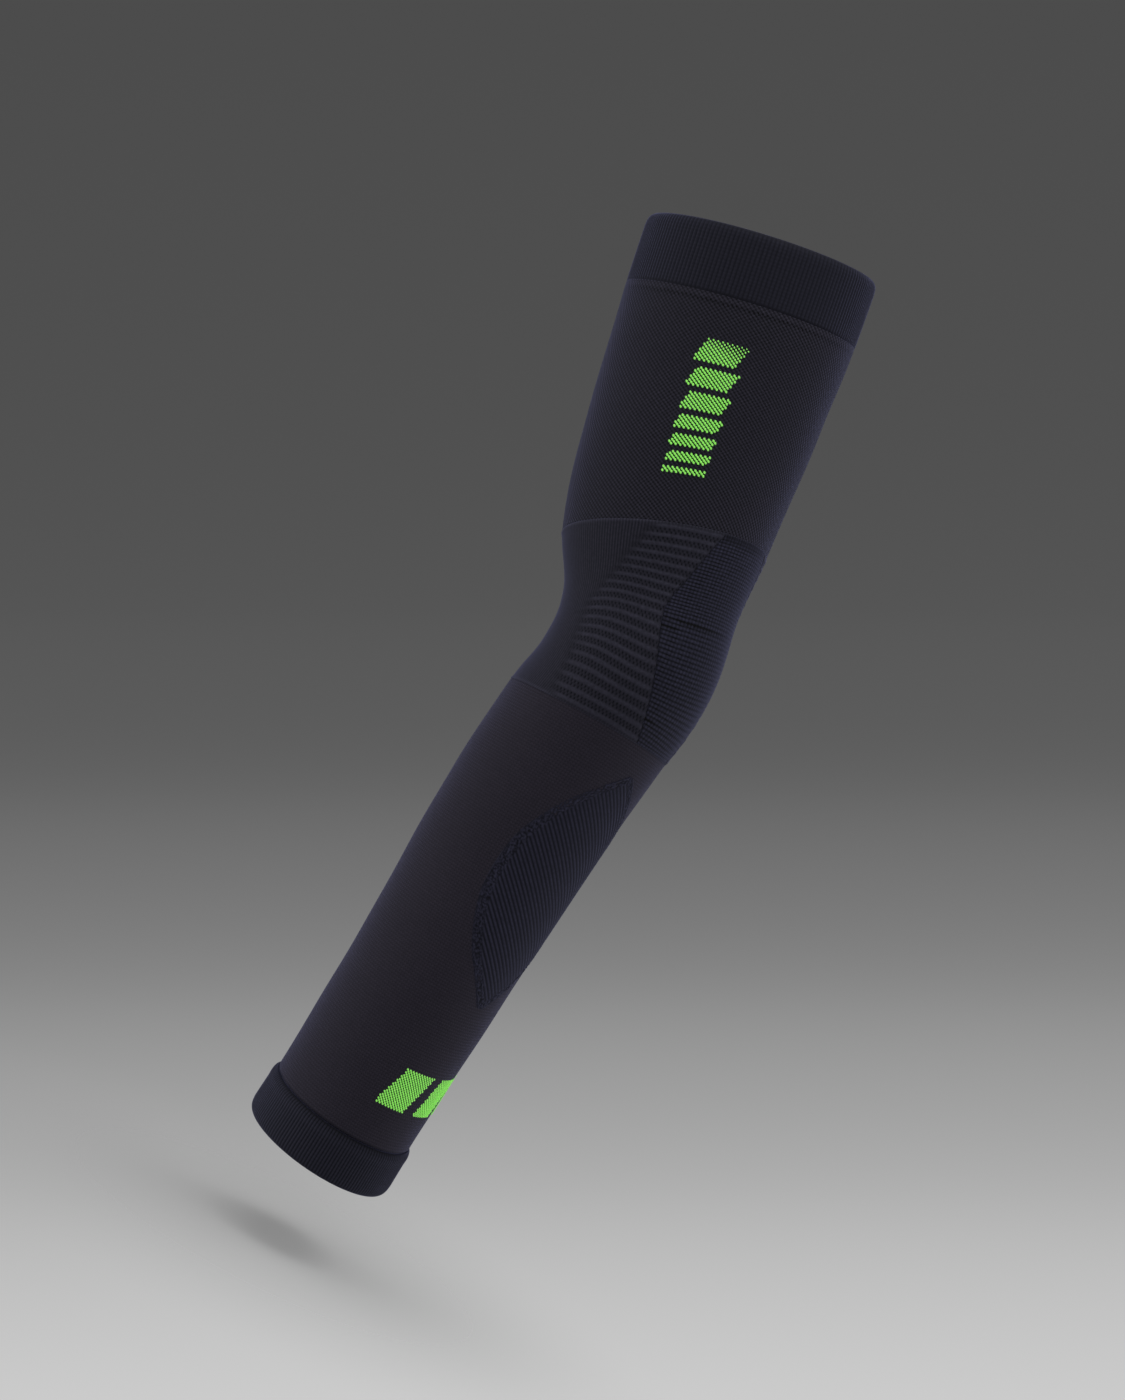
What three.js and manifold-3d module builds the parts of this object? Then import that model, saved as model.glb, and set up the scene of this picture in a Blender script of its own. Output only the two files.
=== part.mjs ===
// Arm compression sleeve: one knitted tube with zones of different knit, in the form it has when it
// is worn with the elbow slightly bent.
// Millimetres, +Z up. The origin is the centre of the upper opening, and the centre of the wrist
// opening lies straight below it. The arm bends in the XZ plane: the crook of the elbow faces -X and
// the point of the elbow faces +X. An angle round the arm is counted from +X towards +Y.
import * as THREE from "three";
import { mergeVertices } from "three/addons/utils/BufferGeometryUtils.js";
import Module from "manifold-3d";

const wasm = await Module();
wasm.setup();

// The form of the arm: outside sizes of the two openings, and the lengths from the point where the
// elbow bends, along the middle of the arm
const upperOpeningWidth = 94;
const upperOpeningDepth = 90;
const wristOpeningWidth = 68;
const wristOpeningDepth = 59;
const upperArmLength = 169;
const forearmLength = 231;
const elbowBend = 19;
const elbowBendRadius = 110;
const courseLag = 8;
const courseLagFrom = -47;

// The knit
const knitWall = 1.4;
const cuffWall = 2.2;
const zoneGap = 0.3;
const segmentsAround = 40;

// The two turned welts. A step is how far a cuff stands proud of the knit beside it.
const upperCuffLength = 27;
const upperCuffStep = 0.4;
const wristCuffLength = 20;
const wristCuffStep = 1;
const rimRounding = 4.5;

// The elbow zone, measured from the point where the elbow bends
const elbowZoneAbove = 49;
const elbowZoneBelow = 18.5;
const ribPitch = 3.4;
const ribHeight = 0.7;
const ribFade = 9;
const patchBorder = 2.4;
const patchProud = 0.3;
const patchTurn = 6;

// The support panel on the outer side of the forearm
const panelStart = 12;
const panelLength = 112;
const panelWidth = 56;
const panelProud = 0.4;

// The stitched marks: a column of bars on the upper arm, and a row of slanted blocks at the wrist
const markThickness = 0.6;
const markLift = 0.3;
const markStep = 5;
const armMarkStart = 45;
const armMarkAngle = -49;
const armMarkWidth = 16;
const armMarkFirst = 9;
const armMarkLast = 2.4;
const armMarkCount = 7;
const armMarkGap = 2.6;
const armMarkSlant = 3;
const wristMarkAboveCuff = 18;
const wristMarkHeight = 17;
const wristMarkStartAngle = -36;
const wristMarkFirst = 13;
const wristMarkLast = 3;
const wristMarkCount = 8;
const wristMarkGap = 5;
const wristMarkSlant = 5;

// One row for each section of the arm. at: 0 is the upper rim, 1 the bend of the elbow and 2 the
// wrist rim. full and deep: the width in the plane of the bend and across it, as shares of a straight
// cone between the openings. shift: how far the section sits towards the point of the elbow, as a
// share of its half-width. raise: degrees that a knitted course rises on the outer side of the bend.
// lag: how far a course lies lower than that away from courseLagFrom, as a share of courseLag.
const sections = [
  { at: 0.0, full: 1.0, deep: 1.0, shift: 0.0, raise: 1, lag: 0 },
  { at: 0.18, full: 1.02, deep: 1.02, shift: -0.01, raise: 2, lag: 0 },
  { at: 0.45, full: 1.03, deep: 1.04, shift: -0.03, raise: 8, lag: 0 },
  { at: 0.7, full: 0.975, deep: 1.01, shift: -0.01, raise: 14, lag: 0.03 },
  { at: 0.85, full: 0.85, deep: 0.89, shift: 0.08, raise: 11.5, lag: 0.55 },
  { at: 1.0, full: 0.875, deep: 0.91, shift: 0.09, raise: 6, lag: 0.93 },
  { at: 1.12, full: 0.893, deep: 0.94, shift: -0.015, raise: 3.4, lag: 1 },
  { at: 1.3, full: 0.912, deep: 0.96, shift: -0.068, raise: 3.2, lag: 0.6 },
  { at: 1.6, full: 0.925, deep: 0.945, shift: -0.03, raise: 3, lag: 0.1 },
  { at: 1.88, full: 0.957, deep: 0.962, shift: -0.004, raise: 1, lag: 0 },
  { at: 2.0, full: 1.0, deep: 1.0, shift: 0.0, raise: 0.5, lag: 0 },
];

// How the elbow ribs and the pad between them are laid out. down: share of the elbow zone from its
// top. pad: half the angle that the pad covers, round a middle that is turned by patchTurn. reach: the
// angle at which the ribs end on each side.
const elbowLayout = [
  { down: 0.0, pad: 21, reach: 59 },
  { down: 0.25, pad: 35, reach: 78 },
  { down: 0.45, pad: 45, reach: 95 },
  { down: 0.7, pad: 37, reach: 93 },
  { down: 1.0, pad: 21, reach: 86 },
];

// The outline of the support panel, a pointed oval. down: share of its length. wide: share of its width.
const panelOutline = [
  { down: 0.0, wide: 0.06 },
  { down: 0.08, wide: 0.36 },
  { down: 0.2, wide: 0.7 },
  { down: 0.36, wide: 0.95 },
  { down: 0.5, wide: 1.0 },
  { down: 0.64, wide: 0.93 },
  { down: 0.8, wide: 0.66 },
  { down: 0.92, wide: 0.32 },
  { down: 1.0, wide: 0.06 },
];

// The rounded rim of a welt. down: share of the rounding from the rim. inward: share of the wall.
const rimProfile = [
  { down: 0.0, inward: 0.6 },
  { down: 0.09, inward: 0.38 },
  { down: 0.3, inward: 0.17 },
  { down: 1.0, inward: 0.0 },
];

const radians = Math.PI / 180;
const wholeLength = upperArmLength + forearmLength;
const elbowTop = upperArmLength - elbowZoneAbove;
const elbowBottom = upperArmLength + elbowZoneBelow;
const elbowZoneLength = elbowZoneAbove + elbowZoneBelow;
const wristCuffTop = wholeLength - wristCuffLength;

const knitColour = new THREE.Color("#1f1f29");
const markColour = new THREE.Color("#7fe25c");

// Value of one column of a table at a place along it, on a smooth curve through the rows
function readTable(table, key, column, place) {
  const last = table.length - 1;
  let row = 0;
  while (row < last - 1 && place > table[row + 1][key]) {
    row += 1;
  }
  const slope = (i) => {
    const before = table[Math.max(i - 1, 0)];
    const after = table[Math.min(i + 1, last)];
    return (after[column] - before[column]) / (after[key] - before[key]);
  };
  const span = table[row + 1][key] - table[row][key];
  const t = Math.min(Math.max((place - table[row][key]) / span, 0), 1);
  const rise = table[row + 1][column] - table[row][column];
  const startSlope = slope(row) * span;
  const endSlope = slope(row + 1) * span;
  const bend = startSlope + endSlope - 2 * rise;
  return table[row][column] + t * (startSlope + t * (3 * rise - 2 * startSlope - endSlope + t * bend));
}

function mix(a, b, t) {
  return a + (b - a) * t;
}

// The middle of the arm before it is hung: straight, an arc round the elbow, straight again
function unhungAxis(along) {
  const bend = elbowBend * radians;
  const arcStart = upperArmLength - (elbowBendRadius * bend) / 2;
  const turned = Math.min(Math.max((along - arcStart) / elbowBendRadius, 0), bend);
  const before = Math.min(along, arcStart);
  const after = Math.max(along - arcStart - elbowBendRadius * bend, 0);
  return {
    x: -elbowBendRadius * (1 - Math.cos(turned)) - after * Math.sin(turned),
    z: -before - elbowBendRadius * Math.sin(turned) - after * Math.cos(turned),
    turned,
  };
}

// Lean that brings the centre of the wrist opening straight below the centre of the upper opening
const unhungEnd = unhungAxis(wholeLength);
const lean = Math.atan2(-unhungEnd.x, -unhungEnd.z);

// The middle of the arm at a distance along it: its place, and the direction towards the elbow's side
function axis(along) {
  const { x, z, turned } = unhungAxis(along);
  const angle = lean - turned;
  return {
    centre: new THREE.Vector3(
      x * Math.cos(lean) - z * Math.sin(lean), 0, x * Math.sin(lean) + z * Math.cos(lean)),
    side: new THREE.Vector3(Math.cos(angle), 0, Math.sin(angle)),
    up: new THREE.Vector3(-Math.sin(angle), 0, Math.cos(angle)),
  };
}

// Place in the section table of a distance along the arm
function placeOf(along) {
  return along < upperArmLength
    ? along / upperArmLength
    : 1 + (along - upperArmLength) / forearmLength;
}

// Half-widths of the knit's outer face at a distance along the arm
function halfWidths(along) {
  const at = placeOf(along);
  const wide = mix(upperOpeningWidth / 2 - upperCuffStep, wristOpeningWidth / 2 - wristCuffStep, at / 2);
  const deep = mix(upperOpeningDepth / 2 - upperCuffStep, wristOpeningDepth / 2 - wristCuffStep, at / 2);
  return {
    wide: wide * readTable(sections, "at", "full", at),
    deep: deep * readTable(sections, "at", "deep", at),
  };
}

// Where a knitted course lies along the arm, at an angle in radians: it hangs lower below the elbow
function hung(course, angle) {
  const lag = courseLag * readTable(sections, "at", "lag", placeOf(course));
  return course + lag * (1 - Math.cos(angle - courseLagFrom * radians));
}

// A point of the arm's surface. angle is in radians, and out is the distance out from the knit's face.
function surface(course, angle, out) {
  const along = hung(course, angle);
  const at = placeOf(along);
  const { wide, deep } = halfWidths(along);
  const { centre, side, up } = axis(along);
  const raise = readTable(sections, "at", "raise", at) * radians;
  const across = (wide + out) * Math.cos(angle);
  return centre.clone()
    .addScaledVector(side, wide * readTable(sections, "at", "shift", at) + across * Math.cos(raise))
    .addScaledVector(up, across * Math.sin(raise))
    .add(new THREE.Vector3(0, (deep + out) * Math.sin(angle), 0));
}

// Angle that a distance round the arm covers on the outer side of the bend
function angleOf(distance, along) {
  return distance / halfWidths(along).deep;
}

function meshGeometry(points, faces) {
  const geometry = new THREE.BufferGeometry();
  geometry.setAttribute("position", new THREE.Float32BufferAttribute(points.flatMap((p) => p.toArray()), 3));
  geometry.setIndex(faces);
  return geometry;
}

// A ring round the arm: a closed outline of { along, out }, down its outer face and up its inner one
function ring(outline, relief = () => 0) {
  const points = [];
  const faces = [];
  const count = outline.length;
  for (const { along, out } of outline) {
    for (let j = 0; j < segmentsAround; j += 1) {
      const angle = (j / segmentsAround) * 2 * Math.PI;
      points.push(surface(along, angle, out + relief(along, angle, out)));
    }
  }
  for (let k = 0; k < count; k += 1) {
    const below = (k + 1) % count;
    for (let j = 0; j < segmentsAround; j += 1) {
      const beside = (j + 1) % segmentsAround;
      const a = k * segmentsAround + j;
      const b = below * segmentsAround + j;
      const c = below * segmentsAround + beside;
      const d = k * segmentsAround + beside;
      faces.push(a, b, c, a, c, d);
    }
  }
  return meshGeometry(points, faces);
}

// A piece that lies in the surface: rows of { along, from, to } with angles, between two depths
function slab(rows, columns, low, high) {
  const points = [];
  const faces = [];
  const around = 2 * (columns + 1);
  for (const { along, from, to } of rows) {
    for (let c = 0; c <= columns; c += 1) {
      points.push(surface(along, mix(from, to, c / columns), high));
    }
    for (let c = columns; c >= 0; c -= 1) {
      points.push(surface(along, mix(from, to, c / columns), low));
    }
  }
  for (let r = 0; r < rows.length - 1; r += 1) {
    for (let m = 0; m < around; m += 1) {
      const next = (m + 1) % around;
      const a = r * around + m;
      const b = (r + 1) * around + m;
      const c = (r + 1) * around + next;
      const d = r * around + next;
      faces.push(a, b, c, a, c, d);
    }
  }
  const bottom = (rows.length - 1) * around;
  for (let c = 0; c < columns; c += 1) {
    const under = around - 1 - c;
    faces.push(c, c + 1, under - 1, c, under - 1, under);
    faces.push(bottom + c, bottom + under - 1, bottom + c + 1);
    faces.push(bottom + c, bottom + under, bottom + under - 1);
  }
  return meshGeometry(points, faces);
}

function toSolid(geometry) {
  const bare = geometry.clone();
  bare.deleteAttribute("normal");
  bare.deleteAttribute("uv");
  const merged = mergeVertices(bare);
  return new wasm.Manifold(new wasm.Mesh({
    numProp: 3,
    vertProperties: new Float32Array(merged.attributes.position.array),
    triVerts: new Uint32Array(merged.index.array),
  }));
}

function fromSolid(solid) {
  const mesh = solid.getMesh();
  const geometry = new THREE.BufferGeometry();
  geometry.setAttribute("position", new THREE.BufferAttribute(new Float32Array(mesh.vertProperties), 3));
  geometry.setIndex(new THREE.BufferAttribute(new Uint32Array(mesh.triVerts), 1));
  return geometry;
}

// Evenly spaced distances along the arm, both ends included
function spread(start, end, steps) {
  return Array.from({ length: steps + 1 }, (_, i) => mix(start, end, i / steps));
}

// A plain tube of knit: its outer face has more sections than its inner one
function knitTube(start, end, outerSteps, innerSteps, relief) {
  const outside = spread(start, end, outerSteps).map((along) => ({ along, out: 0 }));
  const inside = spread(end, start, innerSteps).map((along) => ({ along, out: -knitWall }));
  return ring([...outside, ...inside], relief);
}

// A turned welt from its rim to its inner end. sign is 1 where the rim is the upper end.
function cuff(rim, length, step, sign) {
  const place = (distance) => rim + sign * distance;
  const rounded = rimProfile.map(({ down, inward }) => (
    { along: place(down * rimRounding), out: step - inward * cuffWall }));
  const body = spread(rimRounding, length, 3).slice(1).map((distance) => (
    { along: place(distance), out: step }));
  const inside = spread(length, rimRounding / 2, 3).map((distance) => (
    { along: place(distance), out: step - cuffWall }));
  const outline = [...rounded, ...body, ...inside];
  return ring(sign > 0 ? outline : outline.reverse());
}

// Height of the course ribs of the elbow zone: they run round both sides, from the pad to the crook
function elbowRibs(along, angle, out) {
  const down = (along - elbowTop) / elbowZoneLength;
  if (out < 0 || down < 0 || down > 1) {
    return 0;
  }
  const degrees = Math.abs(Math.atan2(Math.sin(angle), Math.cos(angle))) / radians;
  const end = readTable(elbowLayout, "down", "reach", down);
  const fade = Math.min(Math.max((end - degrees) / ribFade, 0), 1);
  const ribs = Math.round(elbowZoneLength / ribPitch);
  return ribHeight * fade * (0.5 - 0.5 * Math.cos(2 * Math.PI * ribs * down));
}

// Rows of the waffle pad, let out by a clearance where they cut its window
function patchRows(clearance) {
  const top = elbowTop + patchBorder - clearance;
  const bottom = elbowBottom - patchBorder + clearance;
  return spread(top, bottom, 20).map((along) => {
    const pad = readTable(elbowLayout, "down", "pad", (along - elbowTop) / elbowZoneLength) * radians;
    const half = pad + angleOf(clearance, along);
    const middle = patchTurn * radians;
    return { along, from: middle - half, to: middle + half };
  });
}

// Rows of the support panel, let out by a clearance where they cut its window
function panelRows(clearance) {
  const start = elbowBottom + panelStart;
  const end = start + panelLength;
  return spread(start - clearance, end + clearance, 20).map((along) => {
    const wide = readTable(panelOutline, "down", "wide", (along - start) / panelLength);
    const half = angleOf((wide * panelWidth) / 2 + clearance, along);
    return { along, from: -half, to: half };
  });
}

// Cuts the window for a piece through the wall of a tube
function cutWindow(tube, windowRows, columns) {
  const spare = 2 * zoneGap;
  const cutter = toSolid(slab(windowRows, columns, -knitWall - spare, ribHeight + spare));
  return fromSolid(toSolid(tube).subtract(cutter));
}

function material(colour) {
  return new THREE.MeshStandardMaterial({ color: colour, roughness: 0.85, metalness: 0 });
}

const sleeve = new THREE.Group();

function addPiece(name, geometry, colour = knitColour) {
  const mesh = new THREE.Mesh(geometry, material(colour));
  mesh.name = name;
  sleeve.add(mesh);
}

const halfGap = zoneGap / 2;
const patchColumns = 8;
const panelColumns = 6;

function addCuffs() {
  addPiece("upper_cuff", cuff(0, upperCuffLength - halfGap, upperCuffStep, 1));
  addPiece("wrist_cuff", cuff(wholeLength, wristCuffLength - halfGap, wristCuffStep, -1));
}

function addUpperArm() {
  addPiece("upper_arm_knit", knitTube(upperCuffLength + halfGap, elbowTop - halfGap, 8, 5));
}

function addElbow() {
  const ribSteps = 2 * Math.round(elbowZoneLength / ribPitch);
  const tube = knitTube(elbowTop + halfGap, elbowBottom - halfGap, ribSteps, 8, elbowRibs);
  addPiece("elbow_knit", cutWindow(tube, patchRows(zoneGap), patchColumns));
  addPiece("elbow_patch", slab(patchRows(0), patchColumns, -knitWall, patchProud));
}

function addForearm() {
  const tube = knitTube(elbowBottom + halfGap, wristCuffTop - halfGap, 12, 8);
  addPiece("forearm_knit", cutWindow(tube, panelRows(zoneGap), panelColumns));
  addPiece("forearm_panel", slab(panelRows(0), panelColumns, -knitWall, panelProud));
}

// Bars across the arm, one below the other, each thinner than the last
function addArmMarks() {
  let along = armMarkStart;
  for (let i = 0; i < armMarkCount; i += 1) {
    const height = mix(armMarkFirst, armMarkLast, i / (armMarkCount - 1));
    const half = angleOf(armMarkWidth / 2, along);
    const top = along;
    const rows = spread(top, top + height, Math.ceil(height / markStep)).map((row) => {
      const middle = armMarkAngle * radians - angleOf(armMarkSlant * ((row - top) / armMarkFirst), top);
      return { along: row, from: middle - half, to: middle + half };
    });
    addPiece(`arm_mark_${i + 1}`, slab(rows, 4, markLift, markLift + markThickness), markColour);
    along += height + armMarkGap;
  }
}

// Slanted blocks in a row round the outer side of the wrist, each narrower than the last
function addWristMarks() {
  const bottom = wristCuffTop - wristMarkAboveCuff;
  const top = bottom - wristMarkHeight;
  let angle = wristMarkStartAngle * radians;
  for (let i = 0; i < wristMarkCount; i += 1) {
    const width = mix(wristMarkFirst, wristMarkLast, i / (wristMarkCount - 1));
    const turn = angleOf(width, bottom);
    const start = angle;
    const rows = spread(top, bottom, Math.ceil(wristMarkHeight / markStep)).map((row) => {
      const from = start + angleOf(wristMarkSlant * ((bottom - row) / wristMarkHeight), bottom);
      return { along: row, from, to: from + turn };
    });
    const columns = Math.ceil(width / markStep);
    addPiece(`wrist_mark_${i + 1}`, slab(rows, columns, markLift, markLift + markThickness), markColour);
    angle += turn + angleOf(wristMarkGap, bottom);
  }
}

addCuffs();
addUpperArm();
addElbow();
addForearm();
addArmMarks();
addWristMarks();

export default sleeve;
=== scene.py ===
# Arm compression sleeve in its worn form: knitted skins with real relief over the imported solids.
# Sizes are in millimetres, and become metres where points are made.
import math

import bpy
import numpy as np
from mathutils import Matrix, Vector


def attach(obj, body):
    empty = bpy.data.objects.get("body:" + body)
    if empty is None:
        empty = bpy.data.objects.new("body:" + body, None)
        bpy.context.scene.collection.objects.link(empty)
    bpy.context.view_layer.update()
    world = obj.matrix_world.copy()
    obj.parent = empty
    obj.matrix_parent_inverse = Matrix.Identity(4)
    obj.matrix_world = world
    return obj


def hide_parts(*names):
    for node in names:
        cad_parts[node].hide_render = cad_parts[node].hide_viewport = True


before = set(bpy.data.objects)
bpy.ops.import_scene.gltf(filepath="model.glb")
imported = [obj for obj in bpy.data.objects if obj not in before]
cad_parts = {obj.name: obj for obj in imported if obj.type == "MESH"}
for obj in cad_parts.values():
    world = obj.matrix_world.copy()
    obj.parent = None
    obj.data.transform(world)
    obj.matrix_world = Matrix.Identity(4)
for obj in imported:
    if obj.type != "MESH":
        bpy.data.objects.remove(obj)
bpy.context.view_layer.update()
print("frame loaded:", len(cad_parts), "nodes")

millimetre = 0.001
turn = 2 * math.pi

arm = {
    "upperWidth": 94, "upperDepth": 90,      # outside of the upper opening
    "wristWidth": 68, "wristDepth": 59,      # outside of the wrist opening
    "upperArm": 169, "forearm": 231,         # along the middle, from the bend of the elbow
    "bend": 19, "bendRadius": 110,           # degrees, and the radius of the middle there
    "lag": 8, "lagFrom": -47,                # how far courses hang below the elbow, and from which angle
    "wall": 1.4, "cuffWall": 2.2,
    "upperCuff": 27, "upperStep": 0.4,       # length of each cuff, and how far it stands proud
    "wristCuff": 20, "wristStep": 1.0,
    "zoneAbove": 49, "zoneBelow": 18.5,      # the elbow zone, from the bend of the elbow
}
sections = {                                 # at: 0 upper rim, 1 bend of the elbow, 2 wrist rim
    "at":    [0.0, 0.18, 0.45, 0.70, 0.85, 1.0, 1.12, 1.30, 1.60, 1.88, 2.0],
    "full":  [1.0, 1.02, 1.03, 0.975, 0.85, 0.875, 0.893, 0.912, 0.925, 0.957, 1.0],
    "deep":  [1.0, 1.02, 1.04, 1.01, 0.89, 0.91, 0.94, 0.96, 0.945, 0.962, 1.0],
    "shift": [0.0, -0.01, -0.03, -0.01, 0.08, 0.09, -0.015, -0.068, -0.03, -0.004, 0.0],
    "raise": [1, 2, 8, 14, 11.5, 6, 3.4, 3.2, 3, 1, 0.5],
    "lag":   [0, 0, 0, 0.03, 0.55, 0.93, 1, 0.6, 0.1, 0, 0],
}
wholeLength = arm["upperArm"] + arm["forearm"]
elbowTop = arm["upperArm"] - arm["zoneAbove"]
elbowBottom = arm["upperArm"] + arm["zoneBelow"]
zoneLength = arm["zoneAbove"] + arm["zoneBelow"]
wristCuffTop = wholeLength - arm["wristCuff"]


def readTable(table, column, place):
    # a smooth curve through the rows, with each slope taken across the two neighbours
    keys = np.array(table[next(iter(table))], float)
    values = np.array(table[column], float)
    slopes = np.gradient(values) / np.gradient(keys)
    place = np.clip(np.asarray(place, float), keys[0], keys[-1])
    i = np.clip(np.searchsorted(keys, place, side="right") - 1, 0, len(keys) - 2)
    span = keys[i + 1] - keys[i]
    t = (place - keys[i]) / span
    rise = values[i + 1] - values[i]
    first = slopes[i] * span
    last = slopes[i + 1] * span
    return values[i] + t * (first + t * (3 * rise - 2 * first - last + t * (first + last - 2 * rise)))


def unhungAxis(along):
    # straight, an arc round the elbow, straight again
    bend = math.radians(arm["bend"])
    radius = arm["bendRadius"]
    arcStart = arm["upperArm"] - radius * bend / 2
    turned = np.clip((along - arcStart) / radius, 0, bend)
    before = np.minimum(along, arcStart)
    after = np.maximum(along - arcStart - radius * bend, 0)
    x = -radius * (1 - np.cos(turned)) - after * np.sin(turned)
    z = -before - radius * np.sin(turned) - after * np.cos(turned)
    return x, z, turned


endX, endZ = unhungAxis(np.array(float(wholeLength)))[:2]
lean = math.atan2(-endX, -endZ)


def placeOf(along):
    return np.where(along < arm["upperArm"], along / arm["upperArm"],
                    1 + (along - arm["upperArm"]) / arm["forearm"])


def halfWidths(along):
    place = placeOf(along)
    upper = np.array([arm["upperWidth"], arm["upperDepth"]]) / 2 - arm["upperStep"]
    wrist = np.array([arm["wristWidth"], arm["wristDepth"]]) / 2 - arm["wristStep"]
    wide = (upper[0] + (wrist[0] - upper[0]) * place / 2) * readTable(sections, "full", place)
    deep = (upper[1] + (wrist[1] - upper[1]) * place / 2) * readTable(sections, "deep", place)
    return place, wide, deep


def surface(course, angle, out):
    # points of the arm's surface, in metres; out is the distance out from the knit's face
    course, angle, out = np.broadcast_arrays(*(np.asarray(a, float) for a in (course, angle, out)))
    lag = arm["lag"] * readTable(sections, "lag", placeOf(course))
    along = course + lag * (1 - np.cos(angle - math.radians(arm["lagFrom"])))
    place, wide, deep = halfWidths(along)
    x, z, turned = unhungAxis(along)
    heading = lean - turned
    rise = np.radians(readTable(sections, "raise", place))
    across = (wide + out) * np.cos(angle)
    sideways = wide * readTable(sections, "shift", place) + across * np.cos(rise)
    upwards = across * np.sin(rise)
    px = x * math.cos(lean) - z * math.sin(lean) + sideways * np.cos(heading) - upwards * np.sin(heading)
    pz = x * math.sin(lean) + z * math.cos(lean) + sideways * np.sin(heading) + upwards * np.cos(heading)
    py = (deep + out) * np.sin(angle)
    return np.stack([px, py, pz], -1) * millimetre


def outwardOf(along, angle):
    # the surface's own outward direction
    step = 0.05
    angleStep = step / 40  # about as far round an arm of this size
    down = surface(along + step, angle, 0) - surface(along - step, angle, 0)
    around = surface(along, angle + angleStep, 0) - surface(along, angle - angleStep, 0)
    normal = np.cross(down, around)
    return normal / np.linalg.norm(normal, axis=-1, keepdims=True)


def smoothStep(value):
    value = np.clip(value, 0, 1)
    return value * value * (3 - 2 * value)


def bump(distance, width):
    # 1 in the middle, and nearly 0 at twice the width
    return np.exp(-(distance / width) ** 2)


def band(distance, look):
    # a soft band across the knit: how far in its middle lies, its half width, and how strong it is
    middle, width, strength = look
    return strength * bump(distance - middle, width)


def grooves(angle, ribs):
    # 0 on the crown of a lengthwise rib and 1 between two
    return 1 - np.abs(np.cos(angle * ribs / 2))


def dots(angle, count):
    # 1 at each of so many places round the arm, and 0 between them
    return 0.5 + 0.5 * np.cos(angle * count)


def hexColour(text):
    # sRGB hex to the linear colour that Blender works in
    parts = [int(text[i:i + 2], 16) / 255 for i in (1, 3, 5)]
    return tuple(c / 12.92 if c <= 0.04045 else ((c + 0.055) / 1.055) ** 2.4 for c in parts) + (1.0,)


def addNode(tree, kind, settings):
    # a value that is another node's output is linked, and any other is set
    node = tree.nodes.new(kind)
    for key, value in settings.items():
        if isinstance(value, bpy.types.NodeSocket):
            tree.links.new(value, node.inputs[key])
        elif isinstance(key, str) and hasattr(node, key):
            setattr(node, key, value)
        else:
            node.inputs[key].default_value = value
    return node


def doMath(tree, operation, first, second=0.0):
    return addNode(tree, "ShaderNodeMath", {"operation": operation, 0: first, 1: second}).outputs[0]


def mapRange(tree, value, fromRange, toRange, smooth=False):
    node = addNode(tree, "ShaderNodeMapRange", {"Value": value, "From Min": fromRange[0],
                   "From Max": fromRange[1], "To Min": toRange[0], "To Max": toRange[1]})
    if smooth:
        node.interpolation_type = "SMOOTHSTEP"
    return node.outputs["Result"]


def mixValues(tree, share, first, second):
    return addNode(tree, "ShaderNodeMix", {"data_type": "FLOAT", "Factor": share, "A": first,
                                           "B": second}).outputs["Result"]


# Materials. Each is one knit of the same nylon and elastane yarn, dyed navy black: matt, with a
# bluish bloom where its fibres are seen edge on.
fabric = {
    "yarn": "#282833", "gap": "#171720",     # the yarn, and the shade between the stitches
    "sheenTint": "#a2a5dc", "sheen": 0.34, "sheenRoughness": 0.38,
    "roughness": 0.84, "specular": 0.2,
    "cloudScale": 22, "cloudShare": 0.16,    # soft unevenness of the dye, per metre
    "grainScale": 1000, "grainShare": 0.22,  # loose fibres, about a millimetre apart
    "bumpDepth": 0.1, "bumpStrength": 0.4,   # fine relief of the stitches that isn't in the mesh
    "darkest": -0.4,                         # how far past the gap's shade a place may go
}


def startMaterial(name, look):
    material = bpy.data.materials.new(name)
    material.use_nodes = True
    tree = material.node_tree
    tree.nodes.clear()
    shader = addNode(tree, "ShaderNodeBsdfPrincipled", {
        "Roughness": look["roughness"], "Specular IOR Level": look["specular"],
        "Sheen Weight": look["sheen"], "Sheen Roughness": look["sheenRoughness"],
        "Sheen Tint": hexColour(look["sheenTint"]),
    })
    addNode(tree, "ShaderNodeOutputMaterial", {"Surface": shader.outputs["BSDF"]})
    return material, tree, shader


def readValue(tree, name):
    return addNode(tree, "ShaderNodeAttribute", {"attribute_name": name}).outputs["Fac"]


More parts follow.
